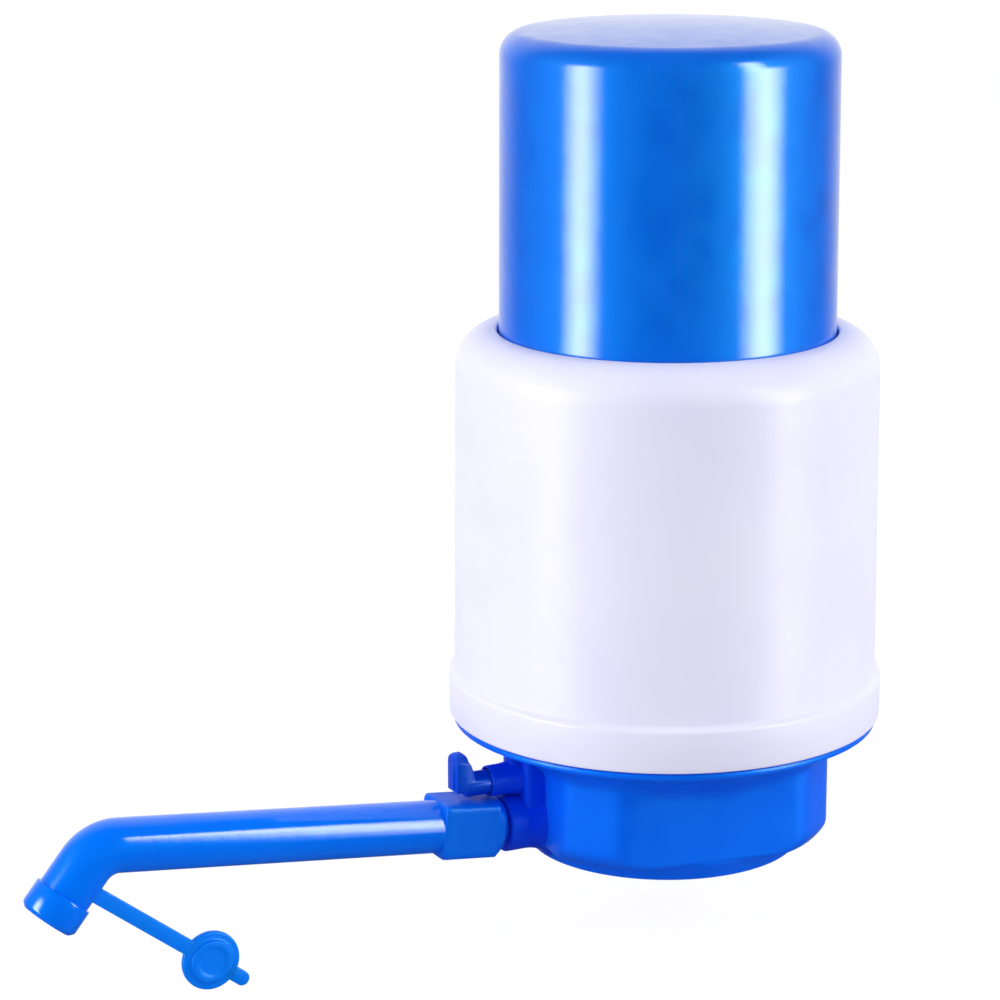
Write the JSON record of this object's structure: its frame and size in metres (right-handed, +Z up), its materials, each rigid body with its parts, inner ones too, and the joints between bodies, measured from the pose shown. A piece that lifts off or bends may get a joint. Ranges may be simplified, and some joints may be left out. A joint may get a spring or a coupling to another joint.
{
  "type": "water jug hand pump",
  "caption": "Hand press pump for a large water jug: sliding cap over a bellows in a round housing, neck collar, push-on spout with tethered dust cap and turning air release.",
  "frame": {"origin": "pump axis at the mouth of the neck socket, the base's lowest face", "axes": "+Z up along the pump axis towards the press cap, the spout runs to -X, Y completes the right-hand frame"},
  "size_m": [0.1866, 0.09, 0.1872],
  "materials": {
    "blue_gloss": "gloss",
    "blue_base": "gloss",
    "blue_spout": "gloss",
    "blue_plug": "gloss",
    "white_housing": "gloss",
    "natural_plastic": "satin",
    "silicone": "matt",
    "dark_rubber": "matt",
    "screw_steel": "plated"
  },
  "bodies": {
    "pump_body": {"base": "blue_base", "cover_plate": "natural_plastic", "clamp_ring": "natural_plastic", "clamp_screws": "screw_steel", "housing": "white_housing", "bellows": "natural_plastic", "neck_seal": "silicone", "outlet_oring": "dark_rubber"},
    "press_head": {"press_cap": "blue_gloss", "head_plate": "natural_plastic", "cuff_ring": "natural_plastic"},
    "intake": {"intake_valve": "silicone"},
    "delivery": {"delivery_valve": "silicone"},
    "air_release": {"air_plug": "blue_plug", "air_oring": "dark_rubber"},
    "spout_tube": {"spout": "blue_spout"},
    "tether": {"strap": "blue_spout"},
    "stopper": {"dust_cap": "blue_spout"}
  },
  "joints": [
    {"name": "press", "type": "slide", "parent": "pump_body", "child": "press_head", "axis": [0, 0, -1], "range_m": [0, 0.055], "stiffness_N_per_m": 300, "springref_m": -0.02, "deforming": ["bellows"]},
    {"name": "intake_lift", "type": "slide", "parent": "press_head", "child": "intake", "axis": [0, 0, -1], "range_m": [0, 0.0008], "stiffness_N_per_m": 20, "springref_m": -0.0005},
    {"name": "delivery_lift", "type": "slide", "parent": "pump_body", "child": "delivery", "axis": [0, 0, -1], "range_m": [0, 0.0008], "stiffness_N_per_m": 20, "springref_m": -0.0005},
    {"name": "air_lever_turn", "type": "hinge", "parent": "pump_body", "child": "air_release", "pos_m": [-0.04, 0, 0.01815], "axis": [1, 0, 0], "range_deg": [-90, 90]},
    {"name": "spout_pull", "type": "slide", "parent": "pump_body", "child": "spout_tube", "axis": [-1, 0, 0], "range_m": [0, 0.01]},
    {"name": "strap_bend", "type": "hinge", "parent": "spout_tube", "child": "tether", "pos_m": [-0.12556, 0, 0.00709], "axis": [0.6046, 0, 0.7965], "range_deg": [-80, 80], "stiffness_Nm_per_rad": 0.002},
    {"name": "cap_bend", "type": "hinge", "parent": "tether", "child": "stopper", "pos_m": [-0.10883, 0, -0.0056], "axis": [0.6046, 0, 0.7965], "range_deg": [-100, 100], "stiffness_Nm_per_rad": 0.0005}
  ]
}
